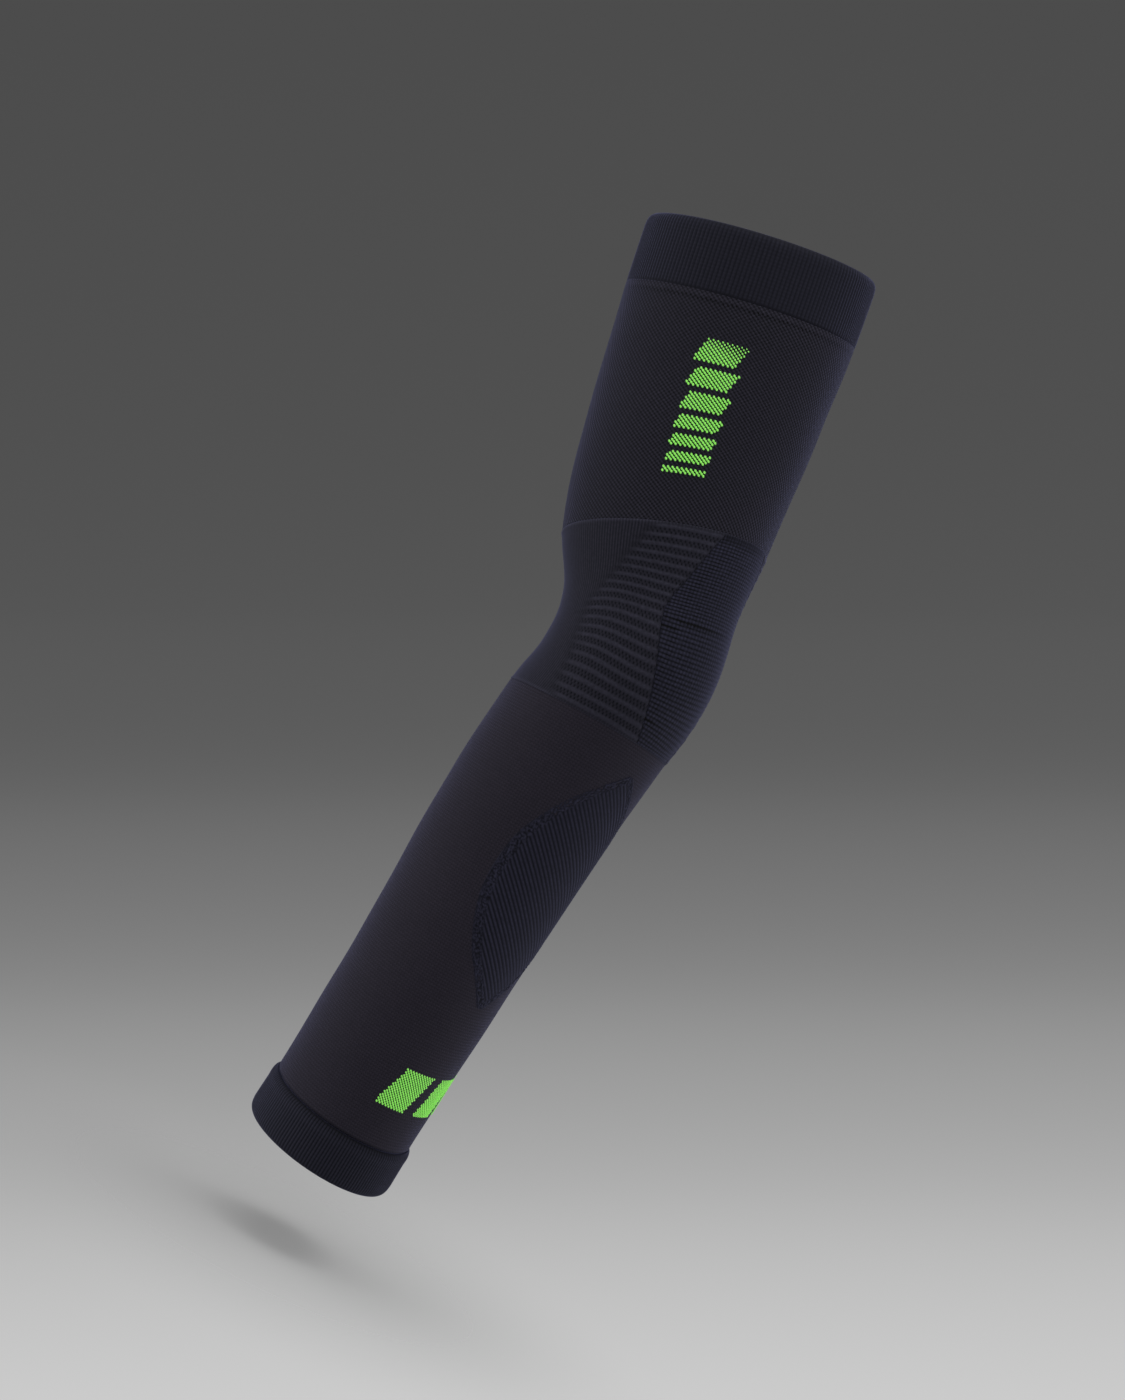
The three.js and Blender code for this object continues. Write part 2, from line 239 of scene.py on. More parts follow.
def finishKnit(tree, shader, height, look):
    # height runs from 0 between the stitches to 1 on top of the yarn, and the colour runs with it from the
    # gap's to the yarn's, which paints shade between the stitches; the tone attribute makes a place paler
    # or darker
    place = addNode(tree, "ShaderNodeTexCoord", {})
    cloud = addNode(tree, "ShaderNodeTexNoise", {"Scale": look["cloudScale"], "Detail": 3.0,
                                                 "Vector": place.outputs["Object"]})
    uneven = mapRange(tree, cloud.outputs["Fac"], (0.3, 0.7), (1 - look["cloudShare"], 1))
    fibres = addNode(tree, "ShaderNodeTexNoise", {"Scale": look["grainScale"], "Detail": 1.0,
                                                  "Vector": place.outputs["Object"]})
    grain = mapRange(tree, fibres.outputs["Fac"], (0.3, 0.7),
                     (1 - look["grainShare"], 1 + look["grainShare"]))
    shade = doMath(tree, "MULTIPLY", doMath(tree, "MULTIPLY", height, uneven), grain)
    # tone: the pieces' own bands, lines and dots, with painted shade in grooves, creases and joints and a
    # painted highlight on the wrist cuff
    toned = doMath(tree, "ADD", shade, readValue(tree, "tone"))
    colour = addNode(tree, "ShaderNodeMix", {"data_type": "RGBA", "clamp_factor": False,
                     "A": hexColour(look["gap"]), "B": hexColour(look["yarn"]),
                     "Factor": doMath(tree, "MAXIMUM", toned, look["darkest"])})
    stitches = addNode(tree, "ShaderNodeBump", {"Strength": look["bumpStrength"], "Height": height,
                                                "Distance": look["bumpDepth"] * millimetre})
    tree.links.new(colour.outputs["Result"], shader.inputs["Base Color"])
    tree.links.new(stitches.outputs["Normal"], shader.inputs["Normal"])


def knitPlace(tree, look):
    # phases of the repeats round the arm and of the courses, from the piece's own UV map, where u is
    # the share of the way round and v the millimetres along
    uv = addNode(tree, "ShaderNodeUVMap", {"uv_map": "knit"})
    parts = addNode(tree, "ShaderNodeSeparateXYZ", {"Vector": uv.outputs["UV"]})
    return (doMath(tree, "MULTIPLY", parts.outputs["X"], look["repeats"] * turn),
            doMath(tree, "MULTIPLY", parts.outputs["Y"], turn / look["coursePitch"]))


def jerseyMaterial():
    # single jersey, circular knitted: columns of V stitches, fine and nearly smooth, two columns to a
    # repeat. The real courses are finer than shows, so they are drawn 1.3 mm apart.
    look = dict(fabric, yarn="#332f3a", gap="#1d1b24", sheen=0.3, repeats=84, coursePitch=1.3, slant=2.6,
                bumpDepth=0.2, bumpStrength=0.6)
    material, tree, shader = startMaterial("circular knitted nylon jersey", look)
    column, course = knitPlace(tree, look)
    side = doMath(tree, "ABSOLUTE", doMath(tree, "SINE", column))
    slanted = doMath(tree, "ADD", course, doMath(tree, "MULTIPLY", side, look["slant"]))
    stitch = mapRange(tree, doMath(tree, "SINE", slanted), (-1, 1), (-0.1, 0.5))
    groove = mapRange(tree, side, (0, 0.5), (0, 0.6))
    finishKnit(tree, shader, doMath(tree, "ADD", stitch, groove), look)
    return material


def piqueMaterial():
    # pique: tuck stitches on every other column and course leave dots that line up on both slants,
    # more plainly on one
    look = dict(fabric, yarn="#33313d", gap="#121219", sheen=0.3, repeats=140, coursePitch=1.7,
                slantShare=0.4, bumpDepth=0.25, bumpStrength=0.7)
    material, tree, shader = startMaterial("knitted nylon pique", look)
    column, course = knitPlace(tree, look)
    both = doMath(tree, "MULTIPLY", doMath(tree, "COSINE", column), doMath(tree, "COSINE", course))
    oneWay = doMath(tree, "COSINE", doMath(tree, "SUBTRACT", column, course))
    slanting = doMath(tree, "MULTIPLY", oneWay, look["slantShare"])
    height = mapRange(tree, doMath(tree, "ADD", both, slanting), (-1, 0.9), (0, 1))
    finishKnit(tree, shader, height, look)
    return material


def ribMaterial():
    # turned rib welt: the ribs are real, and the courses that cross them show as fine steps
    look = dict(fabric, yarn="#262632", gap="#14141d", sheen=0.42, repeats=168, coursePitch=1.4)
    material, tree, shader = startMaterial("knitted nylon rib", look)
    course = knitPlace(tree, look)[1]
    step = mapRange(tree, doMath(tree, "SINE", course), (-1, 1), (0.6, 1))
    # the colour darkens where the ribs are low and between the courses: painted shade in the grooves
    crown = mapRange(tree, readValue(tree, "raised"), (0, 1), (0.3, 1))
    finishKnit(tree, shader, doMath(tree, "MULTIPLY", step, crown), look)
    return material


def reliefMaterial(name, yarn):
    # links-links knit of the elbow and the panel: its relief is real, and its colour follows the height,
    # paler on the
    # ridges and darker in the hollows: painted light and shade. Plain places show fine lengthwise wales.
    look = dict(fabric, yarn=yarn, gap="#0f0f17", repeats=196, coursePitch=1.0)
    material, tree, shader = startMaterial(name, look)
    column = knitPlace(tree, look)[0]
    plain = mapRange(tree, doMath(tree, "COSINE", column), (-1, 1), (0.22, 0.82))
    height = mixValues(tree, readValue(tree, "relief"), plain, readValue(tree, "raised"))
    finishKnit(tree, shader, height, look)
    return material


def yarnMaterial():
    # fluorescent polyester yarn, plated into the knit: satin, and a painted glow (emission) makes it give
    # back more light than it gets
    look = dict(fabric, roughness=0.5, specular=0.4, sheen=0.1, sheenTint="#d8ffc0", yarn="#78dc4a",
                fibre="#b4ff80", fibreScale=900.0, paintedGlow="#8cf060", paintedGlowStrength=0.32,
                bumpStrength=0.3)
    material, tree, shader = startMaterial("fluorescent polyester yarn", look)
    # painted glow: the yarn emits light of its own, though it is no lamp
    shader.inputs["Emission Color"].default_value = hexColour(look["paintedGlow"])
    shader.inputs["Emission Strength"].default_value = look["paintedGlowStrength"]
    place = addNode(tree, "ShaderNodeTexCoord", {})
    fibres = addNode(tree, "ShaderNodeTexNoise", {"Scale": look["fibreScale"], "Detail": 2.0,
                                                  "Vector": place.outputs["Object"]})
    colour = addNode(tree, "ShaderNodeMix", {
        "data_type": "RGBA", "A": hexColour(look["yarn"]), "B": hexColour(look["fibre"]),
        "Factor": fibres.outputs["Fac"]})
    twist = addNode(tree, "ShaderNodeBump", {"Strength": look["bumpStrength"],
                                             "Distance": look["bumpDepth"] * millimetre,
                                             "Height": fibres.outputs["Fac"]})
    tree.links.new(colour.outputs["Result"], shader.inputs["Base Color"])
    tree.links.new(twist.outputs["Normal"], shader.inputs["Normal"])
    return material


jersey = jerseyMaterial()
pique = piqueMaterial()
rib = ribMaterial()
relief = reliefMaterial("knitted nylon relief", "#363542")
waffle = reliefMaterial("knitted nylon waffle", "#38384c")  # a touch bluer, of finer filaments
yarn = yarnMaterial()
print("materials made")


def startTree(name, sizes):
    # a tree that takes geometry, the named sizes and a material
    tree = bpy.data.node_groups.new(name, "GeometryNodeTree")
    tree.interface.new_socket("Geometry", in_out="INPUT", socket_type="NodeSocketGeometry")
    for label, kind in dict(sizes, Material="Material").items():
        tree.interface.new_socket(label, in_out="INPUT", socket_type="NodeSocket" + kind)
    tree.interface.new_socket("Geometry", in_out="OUTPUT", socket_type="NodeSocketGeometry")
    return tree, tree.nodes.new("NodeGroupInput").outputs


def named(tree, name, kind="FLOAT"):
    node = addNode(tree, "GeometryNodeInputNamedAttribute", {"data_type": kind, "Name": name})
    return node.outputs["Attribute"]


def endTree(tree, geometry, material):
    real = addNode(tree, "GeometryNodeRealizeInstances", {"Geometry": geometry})
    dressed = addNode(tree, "GeometryNodeSetMaterial", {"Geometry": real.outputs[0], "Material": material})
    addNode(tree, "NodeGroupOutput", {"Geometry": dressed.outputs[0]})
    return tree


def raiseSurface(tree, sizes, height):
    # moves each point out by height, and keeps the height for the material, which paints shade into the
    # hollows with it
    masked = doMath(tree, "MULTIPLY", height, named(tree, "relief"))
    offset = addNode(tree, "ShaderNodeVectorMath", {
        "operation": "SCALE", 0: named(tree, "outward", "FLOAT_VECTOR"),
        "Scale": doMath(tree, "MULTIPLY", masked, sizes["Depth"])})
    kept = addNode(tree, "GeometryNodeStoreNamedAttribute", {"data_type": "FLOAT", "Name": "raised",
                   "Geometry": sizes["Geometry"], "Value": masked})
    moved = addNode(tree, "GeometryNodeSetPosition", {"Geometry": kept.outputs[0],
                                                      "Offset": offset.outputs[0]})
    return endTree(tree, moved.outputs[0], sizes["Material"])


def phaseOf(tree, attribute, count):
    # count is how many repeats there are in one unit of the attribute
    return doMath(tree, "MULTIPLY", doMath(tree, "MULTIPLY", named(tree, attribute), count), turn)


def ribTree():
    # lengthwise ribs: rounded, with a sharp groove between two
    tree, sizes = startTree("lengthwiseRibs", {"Ribs": "Float", "Depth": "Float"})
    half = doMath(tree, "MULTIPLY", phaseOf(tree, "round", sizes["Ribs"]), 0.5)
    return raiseSurface(tree, sizes, doMath(tree, "ABSOLUTE", doMath(tree, "COSINE", half)))


def courseRibTree():
    # narrow ridges across the arm, and between two of them a hollow with two rows of staggered pits
    tree, sizes = startTree("courseRibs", {"Ribs": "Float", "Pits round": "Float", "Pit share": "Float",
                                           "Depth": "Float"})
    course = phaseOf(tree, "down", sizes["Ribs"])
    wave = doMath(tree, "COSINE", course)
    ridge = mapRange(tree, wave, (-0.1, -0.95), (0.65, 1), True)
    hollow = mapRange(tree, wave, (-0.4, 0.15), (0, 1))
    pits = doMath(tree, "MULTIPLY", doMath(tree, "COSINE", phaseOf(tree, "round", sizes["Pits round"])),
                  doMath(tree, "SINE", course))
    held = doMath(tree, "MULTIPLY", mapRange(tree, pits, (-0.2, 0.6), (0, 1)), hollow)
    height = doMath(tree, "SUBTRACT", ridge, doMath(tree, "MULTIPLY", held, sizes["Pit share"]))
    return raiseSurface(tree, sizes, height)


def waffleTree():
    # small cells between deep crosswise hollows and shallower lengthwise ones
    tree, sizes = startTree("waffleCells", {"Cells round": "Float", "Cells along": "Float",
                                            "Across": "Float", "Depth": "Float"})
    row = phaseOf(tree, "down", sizes["Cells along"])
    down = doMath(tree, "SINE", doMath(tree, "MULTIPLY", row, 0.5))
    column = phaseOf(tree, "round", sizes["Cells round"])
    around = doMath(tree, "SINE", doMath(tree, "MULTIPLY", column, 0.5))
    crest = mixValues(tree, sizes["Across"], doMath(tree, "ABSOLUTE", around), 1.0)
    return raiseSurface(tree, sizes, doMath(tree, "MULTIPLY", doMath(tree, "ABSOLUTE", down), crest))


def panelTree():
    # slanting lengthwise ribs inside the border, and uneven raised specks all over the border
    tree, sizes = startTree("panelKnit", {"Ribs": "Float", "Slant": "Float", "Speck scale": "Float",
                                          "Depth": "Float"})
    column = phaseOf(tree, "round", sizes["Ribs"])
    shift = phaseOf(tree, "down", sizes["Slant"])
    slanted = doMath(tree, "COSINE", doMath(tree, "SUBTRACT", column, shift))
    ribs = mapRange(tree, slanted, (-1, 1), (0.06, 0.82))
    place = tree.nodes.new("GeometryNodeInputPosition").outputs[0]
    noise = addNode(tree, "ShaderNodeTexNoise", {"noise_dimensions": "4D", "Vector": place, "W": 3.0,
                                                 "Scale": sizes["Speck scale"], "Detail": 0.0})
    specks = mapRange(tree, noise.outputs[0], (0.38, 0.62), (0.1, 0.9))
    return raiseSurface(tree, sizes, mixValues(tree, named(tree, "border"), ribs, specks))


def stitchTree():
    # one bead of yarn on each point, turned as the point's own attribute says
    tree, sizes = startTree("yarnStitches", {"Length": "Float", "Width": "Float", "Height": "Float"})
    bead = addNode(tree, "GeometryNodeMeshUVSphere", {"Segments": 8, "Rings": 5, "Radius": 0.5})
    smooth = addNode(tree, "GeometryNodeSetShadeSmooth", {"Geometry": bead.outputs["Mesh"]})
    size = addNode(tree, "ShaderNodeCombineXYZ", {"X": sizes["Width"], "Y": sizes["Length"],
                                                  "Z": sizes["Height"]})
    rotation = addNode(tree, "FunctionNodeEulerToRotation", {
        "Euler": named(tree, "turned", "FLOAT_VECTOR")})
    placed = addNode(tree, "GeometryNodeInstanceOnPoints", {"Points": sizes["Geometry"],
                     "Instance": smooth.outputs[0], "Rotation": rotation.outputs[0],
                     "Scale": size.outputs[0]})
    return endTree(tree, placed.outputs[0], sizes["Material"])


trees = {"ribs": ribTree(), "courseRibs": courseRibTree(), "waffle": waffleTree(), "panel": panelTree(),
         "stitches": stitchTree()}
print("node trees made")


def applyTree(piece, tree, sizes):
    modifier = piece.modifiers.new(tree.name, "NODES")
    modifier.node_group = tree
    for item in tree.interface.items_tree:
        if item.in_out == "INPUT" and item.name in sizes:
            modifier[item.identifier] = sizes[item.name]
    result = bpy.data.meshes.new_from_object(piece.evaluated_get(bpy.context.evaluated_depsgraph_get()))
    piece.modifiers.clear()
    before = piece.data
    piece.data = result
    bpy.data.meshes.remove(before)
    result.name = piece.name


def makePiece(name, points, faces, uv=None, values=None):
    mesh = bpy.data.meshes.new(name)
    mesh.from_pydata(points.reshape(-1, 3).tolist(), [], faces)
    for label, numbers in (values or {}).items():
        kind, part = ("FLOAT_VECTOR", "vector") if numbers.ndim == 2 else ("FLOAT", "value")
        mesh.attributes.new(label, kind, "POINT").data.foreach_set(part, numbers.astype(np.float32).ravel())
    if uv is not None:
        layer = mesh.uv_layers.new(name="knit")
        layer.data.foreach_set("uv", uv.astype(np.float32).ravel())
    mesh.polygons.foreach_set("use_smooth", [True] * len(mesh.polygons))
    mesh.update()
    piece = bpy.data.objects.new(name, mesh)
    bpy.context.collection.objects.link(piece)
    return piece


def loft(name, along, angle, out, marks, wrapped):
    # rows of closed loops. Wrapped rows make a ring round the arm; others are closed by end faces.
    rows, loop = along.shape
    index = np.arange(rows * loop).reshape(rows, loop)
    nextAngle = np.roll(angle, -1, axis=1)
    if wrapped:
        nextAngle = nextAngle + np.where(np.arange(loop) == loop - 1, turn, 0)

    def corners(grid, nextGrid):
        # the four corners of each face, going down, across and up again
        upper, lower, nextUpper, nextLower = grid, np.roll(grid, -1, 0), nextGrid, np.roll(nextGrid, -1, 0)
        four = np.stack([upper, lower, nextLower, nextUpper], -1)
        return (four if wrapped else four[:-1]).reshape(-1, 4)

    faces = corners(index, np.roll(index, -1, axis=1)).tolist()
    downs = corners(along, np.roll(along, -1, axis=1))
    uv = [np.stack([corners(angle, nextAngle) / turn, downs], -1).reshape(-1, 2)]
    if not wrapped:
        for row, order in ((0, slice(None)), (rows - 1, slice(None, None, -1))):
            faces.append(index[row][order].tolist())
            uv.append(np.stack([angle[row][order] / turn, along[row][order]], -1))
    values = {"round": angle / turn, "down": along - elbowTop, **marks}
    values = {label: np.broadcast_to(grid, along.shape).reshape(-1) for label, grid in values.items()}
    values["outward"] = outwardOf(along, angle).reshape(-1, 3)
    return makePiece(name, surface(along, angle, out), faces, np.concatenate(uv), values)


def ring(name, profile, columns, shape):
    # profile: a closed outline of (along, out, share), down the outer face and up the inner one, with
    # share 1 where the face is worked and 0 where it is plain
    profile = np.array(profile, float)
    angle = np.broadcast_to(np.arange(columns) / columns * turn, (len(profile), columns))
    along, out, share = (np.broadcast_to(profile[:, [i]], angle.shape) for i in range(3))
    marks = {label: grid * share for label, grid in shape(along, angle).items()}
    return loft(name, along, angle, out + marks.pop("out"), marks, True)


def overlay(name, rows, middle, half, columns, under, shape):
    # a knitted-in area: half is half its angle at each row, and under is where its back lies
    share = np.concatenate([np.linspace(-1, 1, columns), np.linspace(1, -1, 9)])
    angle = middle + half[:, None] * share
    along = np.broadcast_to(rows[:, None], angle.shape)
    front = np.arange(angle.shape[1]) < columns
    marks = {label: np.where(front, grid, 0.0) for label, grid in shape(along, angle).items()}
    return loft(name, along, angle, np.where(front, marks.pop("out"), under), marks, False)


def unevenness(along, angle):
    # the knit isn't drawn perfectly round: long shallow waves, the same on each run
    return (0.16 * np.sin(along / 17 + 2 * np.sin(angle)) * np.cos(2 * angle + along / 60)
            + 0.07 * np.sin(along / 6.5 + 3 * angle))


def dress(piece, nodes):
    for helper in ("outward", "turned"):  # only the trees read these
        if helper in piece.data.attributes:
            piece.data.attributes.remove(piece.data.attributes[helper])
    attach(piece, "root")
    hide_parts(*nodes)


# The two turned welts
cuffLook = {
    "rounding": 4.5, "lipDrop": 0.6, "lipPower": 1.5,  # the lip: its length, and how it rounds inwards
    "rowStep": 0.8, "samples": 4,                   # how finely rows and ribs are divided
    "upperRibs": 168, "upperDepth": 0.32, "upperDrop": 0.05, "upperTaper": 0.9, "upperFade": 1.2,
    "wristRibs": 148, "wristDepth": 0.3, "wristDrop": 0.85, "wristTaper": 2.6, "wristFade": 1.5,
    # the groove strengths are painted shade between the ribs
    "upperGrooveShade": 0.3, "grooveMean": 0.36, "wristTone": 0.64, "wristGrooveShade": 1.2,
    "dashes": 296,
    "dotBand": (0.4, 0.7, -0.3),                    # bands: how far from the cuff's inner edge, half
    "swelling": (3.6, 1.3, 0.14),                   # width, and strength
    # on the wrist: the pale band is a painted highlight on the swelling, and the edge band painted shade at
    # the joint
    "paleBand": (3.8, 1.1, 0.22), "edgeShadeBand": (0, 0.45, -0.9), "dashBand": (1.2, 0.8, -0.5),
}


def cuffProfile(rim, length, step, drop, taper, sign):
    rounding = cuffLook["rounding"]
    wall = arm["cuffWall"]
    lipDrop = cuffLook["lipDrop"] * wall
    lip = [(rounding * share, lipDrop * (1 - math.sqrt(share)) ** cuffLook["lipPower"], min(share * 3, 1))
           for share in (0, 0.02, 0.06, 0.14, 0.28, 0.5, 0.75)]
    body = [(place, 0, 1) for place in np.arange(rounding, length - taper, cuffLook["rowStep"])]
    edge = [(length - taper * share, drop * (1 - share) ** 2, 1)
            for share in (1, 0.75, 0.5, 0.25, 0.1, 0)]
    inner = [(length, wall, 0), (length / 2, wall, 0), (rounding / 2, wall, 0), (0.9, 0.9 * wall, 0),
             (0.2, 0.76 * wall, 0)]
    outline = [(rim + sign * place, step - inward, share)
               for place, inward, share in lip + body + edge + inner]
    return outline if sign > 0 else outline[::-1]


def makeCuffs():
    look = cuffLook

    def upperShape(along, angle):
        fromEdge = arm["upperCuff"] - along
        # tone: a dotted line of the knit near the edge, and painted shade in the grooves between the ribs,
        # centred on their mean
        tone = (dots(angle, look["upperRibs"]) * band(fromEdge, look["dotBand"])
                + look["upperGrooveShade"] * (look["grooveMean"] - grooves(angle, look["upperRibs"])))
        return {"relief": smoothStep(fromEdge / look["upperFade"]), "out": 0 * along, "tone": tone}

    def wristShape(along, angle):
        fromEdge = along - wristCuffTop
        dashes = smoothStep(0.5 + np.cos(angle * look["dashes"]))
        # tone: a lift for the whole cuff and a dashed line of the knit, a painted highlight along the
        # swelling, and painted shade at the joint with the forearm and in the grooves between the ribs
        tone = (look["wristTone"] + band(fromEdge, look["paleBand"]) + band(fromEdge, look["edgeShadeBand"])
                + dashes * band(fromEdge, look["dashBand"])
                - look["wristGrooveShade"] * grooves(angle, look["wristRibs"]))
        return {"relief": smoothStep(fromEdge / look["wristFade"]),
                "out": band(fromEdge, look["swelling"]), "tone": tone}

    upperProfile = cuffProfile(0, arm["upperCuff"], arm["upperStep"], look["upperDrop"],
                               look["upperTaper"], 1)
    upper = ring("upper_cuff_skin", upperProfile, look["upperRibs"] * look["samples"], upperShape)
    applyTree(upper, trees["ribs"], {"Ribs": look["upperRibs"], "Depth": look["upperDepth"] * millimetre,
                                     "Material": rib})
    dress(upper, ["upper_cuff"])
    wristProfile = cuffProfile(wholeLength, arm["wristCuff"], arm["wristStep"], look["wristDrop"],
                               look["wristTaper"], -1)
    wrist = ring("wrist_cuff_skin", wristProfile, look["wristRibs"] * look["samples"], wristShape)
    applyTree(wrist, trees["ribs"], {"Ribs": look["wristRibs"], "Depth": look["wristDepth"] * millimetre,
                                     "Material": rib})
    dress(wrist, ["wrist_cuff"])


makeCuffs()
print("cuffs made")


# The plain tubes of the upper arm and the forearm
tubeLook = {
    "upperColumns": 504, "lowerColumns": 240, "outerStep": 1.5, "innerStep": 9.0,
    "endRows": [0, 0.3, 0.6, 1, 1.5, 2, 2.5, 3],    # closer rows at both ends
    "waveFade": 12, "zoneFade": 10,                 # the waves die out before the cuffs and the elbow
    "weltLift": 0.66, "weltFade": 34,               # the upper arm rises to meet its cuff
    "paleBand": (1.5, 0.8, 0.18), "dotBand": (2.9, 0.5, -0.55),  # bands below the upper cuff
    "groove": (0, 0.6, -0.5), "grooveShade": (0, 0.8, -1.1),      # the groove above the wrist cuff, and painted shade in it
}


def tubeProfile(start, end, outerStep, endRows=(0,)):
    middle = np.linspace(start + endRows[-1], end - endRows[-1], round((end - start) / outerStep) + 1)
    outer = [*(start + row for row in endRows[:-1]), *middle,
             *(end - row for row in reversed(endRows[:-1]))]
    inner = np.linspace(end, start, round((end - start) / tubeLook["innerStep"]) + 1)
    return [(place, 0, 1) for place in outer] + [(place, -arm["wall"], 0) for place in inner]


def makeTubes():
    look = tubeLook

    def waves(along, angle):
        belowCuff = along - arm["upperCuff"]
        aboveWrist = wristCuffTop - along
        fromZone = np.abs(along - (elbowTop + elbowBottom) / 2) - zoneLength / 2
        ends = smoothStep(belowCuff / look["waveFade"]) * smoothStep(aboveWrist / look["waveFade"])
        zone = smoothStep(fromZone / look["zoneFade"])
        welt = look["weltLift"] * (1 - smoothStep(belowCuff / look["weltFade"]))
        # tone: a pale band and a dotted line below the upper cuff, and painted shade in the groove above
        # the wrist cuff
        tone = (band(belowCuff, look["paleBand"]) + band(aboveWrist, look["grooveShade"])
                + dots(angle, cuffLook["upperRibs"]) * band(belowCuff, look["dotBand"]))
        return {"out": unevenness(along, angle) * ends * zone + welt + band(aboveWrist, look["groove"]),
                "tone": tone}

    upperProfile = tubeProfile(arm["upperCuff"], elbowTop, look["outerStep"], look["endRows"])
    upper = ring("upper_arm_skin", upperProfile, look["upperColumns"], waves)
    upper.data.materials.append(pique)
    dress(upper, ["upper_arm_knit"])
    lowerProfile = tubeProfile(elbowBottom, wristCuffTop, look["outerStep"], look["endRows"])
    forearm = ring("forearm_skin", lowerProfile, look["lowerColumns"], waves)
    forearm.data.materials.append(jersey)
    dress(forearm, ["forearm_knit"])


makeTubes()
print("upper arm and forearm made")


# The elbow zone: course ribs on both sides, and the waffle pad over the point of the elbow
elbowLook = {
    "columns": 560, "outerStep": 0.45,
    "ribs": 20, "ribHeight": 0.4, "pitsRound": 140, "pitShare": 0.8,
    "past": 4, "fade": 14,                    # degrees that the ribs run past their reach, and fade over
    "padGap": 0.4, "padFade": 2, "endFade": 1.2,
    "seamDown": 0.5, "seamWidth": 0.5, "seamHeight": 0.3, "seamTone": 0.55,
    "seamLoss": 0.7, "seamFade": 12,          # the seam is low where the ribs are
}
padLook = {
    "turned": 6, "columns": 140, "rowStep": 0.3, "gap": 0.3, "lift": 0.12, "under": 0.03, "fade": 5,
    "cellsRound": 138, "cellPitch": 1.2, "cellAcross": 0.45, "cellDepth": 0.17,
    "relief": 1.2, "startShare": 0.4, "edgeSharpness": 40, "edgeStart": 0.2,
    "tone": -0.22, "creaseShade": -1.3,
}
elbowLayout = {  # down: share of the zone; pad: half the angle it covers; reach: where the ribs end
    "down": [0, 0.25, 0.45, 0.7, 1],
    "pad": [21, 35, 45, 37, 21],
    "reach": [59, 78, 95, 93, 86],
}
elbowBend = {  # how the courses run across the zone
    "arch": 2.6, "archAngle": -76, "archWidth": 27, "archFrom": 25,
    "lowFrom": 47, "farShare": 4,
}
creases = {  # millimetres down the zone, degrees round, half the angle, depth and half width
    "down": [32.7, 35, 60],
    "angle": [-11, -34, -20],
    "half": [24, 9, 9],
    "depth": [0.36, 0.26, 0.26],
    "width": [0.45, 0.45, 0.45],
}


def fromMiddle(angle, middle):
    # degrees away from a middle, on either side
    away = angle - math.radians(middle)
    return np.degrees(np.abs(np.arctan2(np.sin(away), np.cos(away))))


def courseDown(along, angle):
    # how far down the zone a point's knitted course lies: high at the sides of the elbow, level over its
    # point, and along the zone's own lower edge near that
    look = elbowBend
    hang = 1 - np.cos(angle - math.radians(arm["lagFrom"]))
    level = along + arm["lag"] * readTable(sections, "lag", placeOf(along)) * hang - elbowTop
    lowFrom = look["lowFrom"] - look["farShare"] * arm["lag"] * np.maximum(hang - 1, 0)
    low = smoothStep((level - lowFrom) / (zoneLength + arm["lag"] * hang - lowFrom))
    degrees = np.degrees(np.arctan2(np.sin(angle), np.cos(angle)))
    arch = (look["arch"] * smoothStep(level / look["archFrom"])
            * bump(degrees - look["archAngle"], look["archWidth"]))
    return level + (1 - low) * arch - low * arm["lag"] * hang


def makeElbow():
    look = elbowLook

    def shape(along, angle):
        down = (along - elbowTop) / zoneLength
        insideReach = readTable(elbowLayout, "reach", down) - fromMiddle(angle, 0)
        fromPad = fromMiddle(angle, padLook["turned"]) - readTable(elbowLayout, "pad", down)
        fromEnd = np.minimum(down, 1 - down) * zoneLength
        ribs = (smoothStep((insideReach + look["past"]) / look["fade"])
                * smoothStep(fromPad / look["padFade"] + look["padGap"]))
        seam = (bump(fromEnd - look["seamDown"], look["seamWidth"]) * (fromPad > 0)
                * (1 - look["seamLoss"] * smoothStep(insideReach / look["seamFade"])))
        return {"out": look["seamHeight"] * seam, "relief": ribs * smoothStep(fromEnd / look["endFade"]),
                "tone": look["seamTone"] * seam, "down": courseDown(along, angle)}

    profile = tubeProfile(elbowTop, elbowBottom, look["outerStep"])
    piece = ring("elbow_skin", profile, look["columns"], shape)
    applyTree(piece, trees["courseRibs"], {
        "Ribs": look["ribs"] / zoneLength, "Pits round": look["pitsRound"],
        "Pit share": look["pitShare"], "Depth": look["ribHeight"] * millimetre, "Material": relief})
    dress(piece, ["elbow_knit"])


def makePad():
    look = padLook
    middle = math.radians(look["turned"])
    rows = np.linspace(elbowTop + look["gap"], elbowBottom - look["gap"],
                       round(zoneLength / look["rowStep"]))

    def halfAngle(along):
        return np.radians(readTable(elbowLayout, "pad", (along - elbowTop) / zoneLength))

    def shape(along, angle):
        course = courseDown(along, angle)
        creased = np.zeros(along.shape)
        for down, centre, half, depth, width in zip(*creases.values()):
            creased = creased + depth * bump(np.degrees(angle) - centre, half) * bump(course - down, width)
        inside = halfAngle(along) - np.abs(angle - middle)
        edge = smoothStep(inside * look["edgeSharpness"] + look["edgeStart"])
        start = smoothStep((along - elbowTop) / look["fade"])
        return {"out": np.maximum(look["lift"] * start - creased, 2 * look["under"]),
                "relief": look["relief"] * edge * (look["startShare"] + (1 - look["startShare"]) * start),
                # tone: the pad a touch darker, and painted shade in its creases
                "tone": look["tone"] + look["creaseShade"] * creased, "down": course}

    piece = overlay("elbow_patch_skin", rows, middle, halfAngle(rows), look["columns"], look["under"],
                    shape)
    applyTree(piece, trees["waffle"], {
        "Cells round": look["cellsRound"], "Cells along": 1 / look["cellPitch"],
        "Across": look["cellAcross"], "Depth": look["cellDepth"] * millimetre, "Material": waffle})
    dress(piece, ["elbow_patch"])


